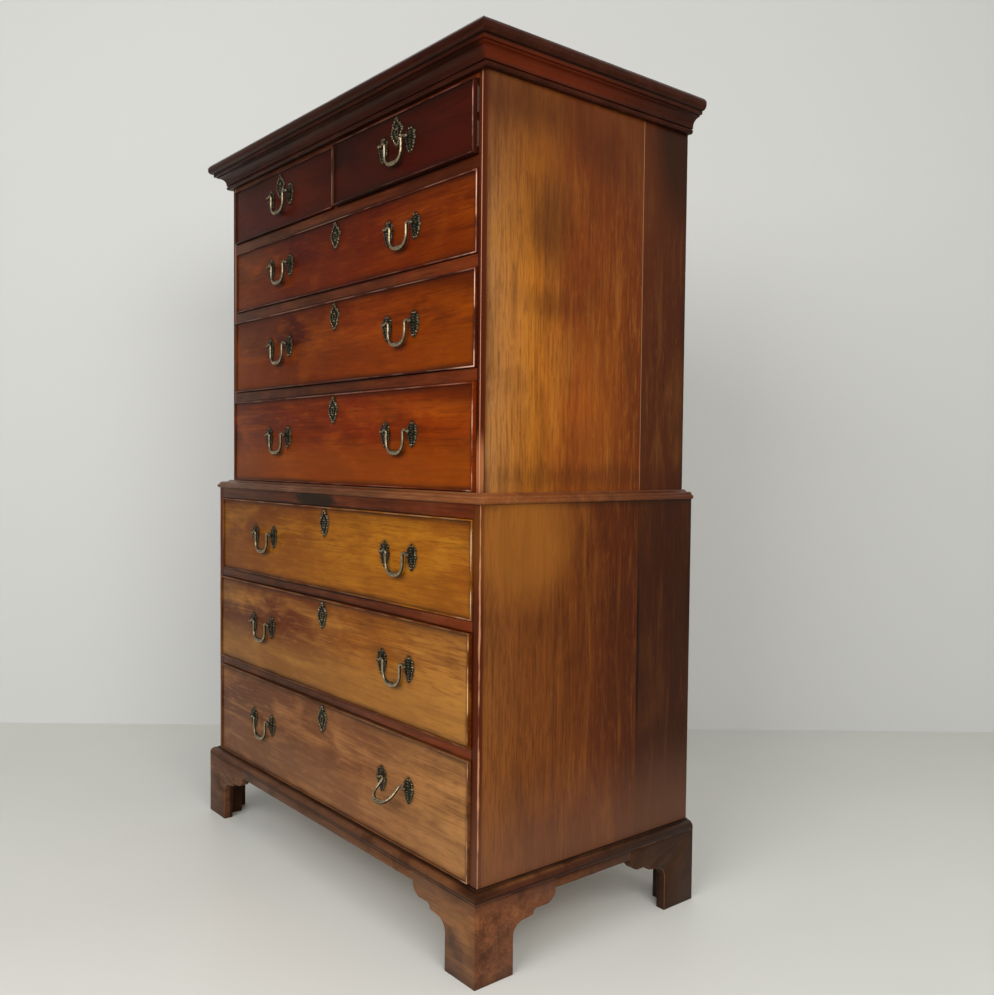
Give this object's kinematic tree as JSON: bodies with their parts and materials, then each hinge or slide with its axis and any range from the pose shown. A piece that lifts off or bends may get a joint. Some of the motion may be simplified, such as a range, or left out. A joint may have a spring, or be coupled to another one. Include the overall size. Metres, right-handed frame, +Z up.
{
  "type": "chest on chest",
  "caption": "Mahogany chest on chest with two stacked carcasses, cockbeaded drawers with swing handles, moulded cornice and waist, and shaped bracket feet.",
  "frame": {"origin": "on the floor, in the middle of the overall width and depth", "axes": "+Z up, +Y towards the back, the drawers open towards -Y, +X towards the right end as seen from the front"},
  "size_m": [1.168, 0.6342, 1.73],
  "materials": {
    "mahogany_case": "polished mahogany, worn",
    "mahogany_front": "polished figured mahogany",
    "pine": "bare pine, darkened with age",
    "brass": "old cast brass, tarnished"
  },
  "bodies": {
    "lower_case": {"lower_side_left": "mahogany_case", "lower_side_right": "mahogany_case", "lower_bottom_board": "pine", "lower_top_board": "pine", "lower_back_boards": "pine", "lower_rails": "mahogany_case", "lower_runners": "pine", "waist_moulding": "mahogany_case", "base_moulding": "mahogany_case", "foot_front_left": "mahogany_case", "foot_front_right": "mahogany_case", "foot_rear_left": "mahogany_case", "foot_rear_right": "mahogany_case"},
    "upper_case": {"upper_side_left": "mahogany_case", "upper_side_right": "mahogany_case", "upper_bottom_board": "pine", "upper_top_board": "pine", "upper_back_boards": "pine", "upper_rails": "mahogany_case", "upper_runners": "pine", "muntin": "mahogany_case", "cornice": "mahogany_case"},
    "drawer_7": {"drawer_7_front": "mahogany_front", "drawer_7_box": "pine", "drawer_7_brasses": "brass"},
    "drawer_7_bail_left": {"drawer_7_bail_left": "brass"},
    "drawer_7_bail_right": {"drawer_7_bail_right": "brass"},
    "drawer_6": {"drawer_6_front": "mahogany_front", "drawer_6_box": "pine", "drawer_6_brasses": "brass"},
    "drawer_6_bail_left": {"drawer_6_bail_left": "brass"},
    "drawer_6_bail_right": {"drawer_6_bail_right": "brass"},
    "drawer_5": {"drawer_5_front": "mahogany_front", "drawer_5_box": "pine", "drawer_5_brasses": "brass"},
    "drawer_5_bail_left": {"drawer_5_bail_left": "brass"},
    "drawer_5_bail_right": {"drawer_5_bail_right": "brass"},
    "drawer_4": {"drawer_4_front": "mahogany_front", "drawer_4_box": "pine", "drawer_4_brasses": "brass"},
    "drawer_4_bail_left": {"drawer_4_bail_left": "brass"},
    "drawer_4_bail_right": {"drawer_4_bail_right": "brass"},
    "drawer_3": {"drawer_3_front": "mahogany_front", "drawer_3_box": "pine", "drawer_3_brasses": "brass"},
    "drawer_3_bail_left": {"drawer_3_bail_left": "brass"},
    "drawer_3_bail_right": {"drawer_3_bail_right": "brass"},
    "drawer_2": {"drawer_2_front": "mahogany_front", "drawer_2_box": "pine", "drawer_2_brasses": "brass"},
    "drawer_2_bail_left": {"drawer_2_bail_left": "brass"},
    "drawer_2_bail_right": {"drawer_2_bail_right": "brass"},
    "short_drawer_left": {"short_drawer_left_front": "mahogany_front", "short_drawer_left_box": "pine", "short_drawer_left_brasses": "brass"},
    "short_drawer_left_bail": {"short_drawer_left_bail": "brass"},
    "short_drawer_right": {"short_drawer_right_front": "mahogany_front", "short_drawer_right_box": "pine", "short_drawer_right_brasses": "brass"},
    "short_drawer_right_bail": {"short_drawer_right_bail": "brass"}
  },
  "joints": [
    {"name": "upper_case_lift", "type": "slide", "parent": "lower_case", "child": "upper_case", "axis": [0, 0, 1], "range_m": [0, 0.06]},
    {"name": "drawer_7_slide", "type": "slide", "parent": "lower_case", "child": "drawer_7", "axis": [0, -1, 0], "range_m": [-0.004, 0.396]},
    {"name": "drawer_7_bail_left_swing", "type": "hinge", "parent": "drawer_7", "child": "drawer_7_bail_left", "pos_m": [-0.296, -0.28095, 0.30375], "axis": [-1, 0, 0], "range_deg": [-5, 175]},
    {"name": "drawer_7_bail_right_swing", "type": "hinge", "parent": "drawer_7", "child": "drawer_7_bail_right", "pos_m": [0.296, -0.28095, 0.30375], "axis": [-1, 0, 0], "range_deg": [-50, 130]},
    {"name": "drawer_6_slide", "type": "slide", "parent": "lower_case", "child": "drawer_6", "axis": [0, -1, 0], "range_m": [-0.005, 0.395]},
    {"name": "drawer_6_bail_left_swing", "type": "hinge", "parent": "drawer_6", "child": "drawer_6_bail_left", "pos_m": [-0.296, -0.28195, 0.5465], "axis": [-1, 0, 0], "range_deg": [-5, 175]},
    {"name": "drawer_6_bail_right_swing", "type": "hinge", "parent": "drawer_6", "child": "drawer_6_bail_right", "pos_m": [0.296, -0.28195, 0.5465], "axis": [-1, 0, 0], "range_deg": [-5, 175]},
    {"name": "drawer_5_slide", "type": "slide", "parent": "lower_case", "child": "drawer_5", "axis": [0, -1, 0], "range_m": [0, 0.4]},
    {"name": "drawer_5_bail_left_swing", "type": "hinge", "parent": "drawer_5", "child": "drawer_5_bail_left", "pos_m": [-0.296, -0.27695, 0.7675], "axis": [-1, 0, 0], "range_deg": [-5, 175]},
    {"name": "drawer_5_bail_right_swing", "type": "hinge", "parent": "drawer_5", "child": "drawer_5_bail_right", "pos_m": [0.296, -0.27695, 0.7675], "axis": [-1, 0, 0], "range_deg": [-5, 175]},
    {"name": "drawer_4_slide", "type": "slide", "parent": "upper_case", "child": "drawer_4", "axis": [0, -1, 0], "range_m": [-0.006, 0.394]},
    {"name": "drawer_4_bail_left_swing", "type": "hinge", "parent": "drawer_4", "child": "drawer_4_bail_left", "pos_m": [-0.264, -0.25595, 1.011], "axis": [-1, 0, 0], "range_deg": [-5, 175]},
    {"name": "drawer_4_bail_right_swing", "type": "hinge", "parent": "drawer_4", "child": "drawer_4_bail_right", "pos_m": [0.264, -0.25595, 1.011], "axis": [-1, 0, 0], "range_deg": [-5, 175]},
    {"name": "drawer_3_slide", "type": "slide", "parent": "upper_case", "child": "drawer_3", "axis": [0, -1, 0], "range_m": [-0.003, 0.397]},
    {"name": "drawer_3_bail_left_swing", "type": "hinge", "parent": "drawer_3", "child": "drawer_3_bail_left", "pos_m": [-0.264, -0.25295, 1.23], "axis": [-1, 0, 0], "range_deg": [-5, 175]},
    {"name": "drawer_3_bail_right_swing", "type": "hinge", "parent": "drawer_3", "child": "drawer_3_bail_right", "pos_m": [0.264, -0.25295, 1.23], "axis": [-1, 0, 0], "range_deg": [-5, 175]},
    {"name": "drawer_2_slide", "type": "slide", "parent": "upper_case", "child": "drawer_2", "axis": [0, -1, 0], "range_m": [-0.001, 0.399]},
    {"name": "drawer_2_bail_left_swing", "type": "hinge", "parent": "drawer_2", "child": "drawer_2_bail_left", "pos_m": [-0.264, -0.25095, 1.424], "axis": [-1, 0, 0], "range_deg": [-5, 175]},
    {"name": "drawer_2_bail_right_swing", "type": "hinge", "parent": "drawer_2", "child": "drawer_2_bail_right", "pos_m": [0.264, -0.25095, 1.424], "axis": [-1, 0, 0], "range_deg": [-5, 175]},
    {"name": "short_drawer_left_slide", "type": "slide", "parent": "upper_case", "child": "short_drawer_left", "axis": [0, -1, 0], "range_m": [-0.004, 0.396]},
    {"name": "short_drawer_left_bail_swing", "type": "hinge", "parent": "short_drawer_left", "child": "short_drawer_left_bail", "pos_m": [-0.25925, -0.25395, 1.5915], "axis": [-1, 0, 0], "range_deg": [-5, 175]},
    {"name": "short_drawer_right_slide", "type": "slide", "parent": "upper_case", "child": "short_drawer_right", "axis": [0, -1, 0], "range_m": [-0.011, 0.389]},
    {"name": "short_drawer_right_bail_swing", "type": "hinge", "parent": "short_drawer_right", "child": "short_drawer_right_bail", "pos_m": [0.25925, -0.26095, 1.5915], "axis": [-1, 0, 0], "range_deg": [-5, 175]}
  ]
}
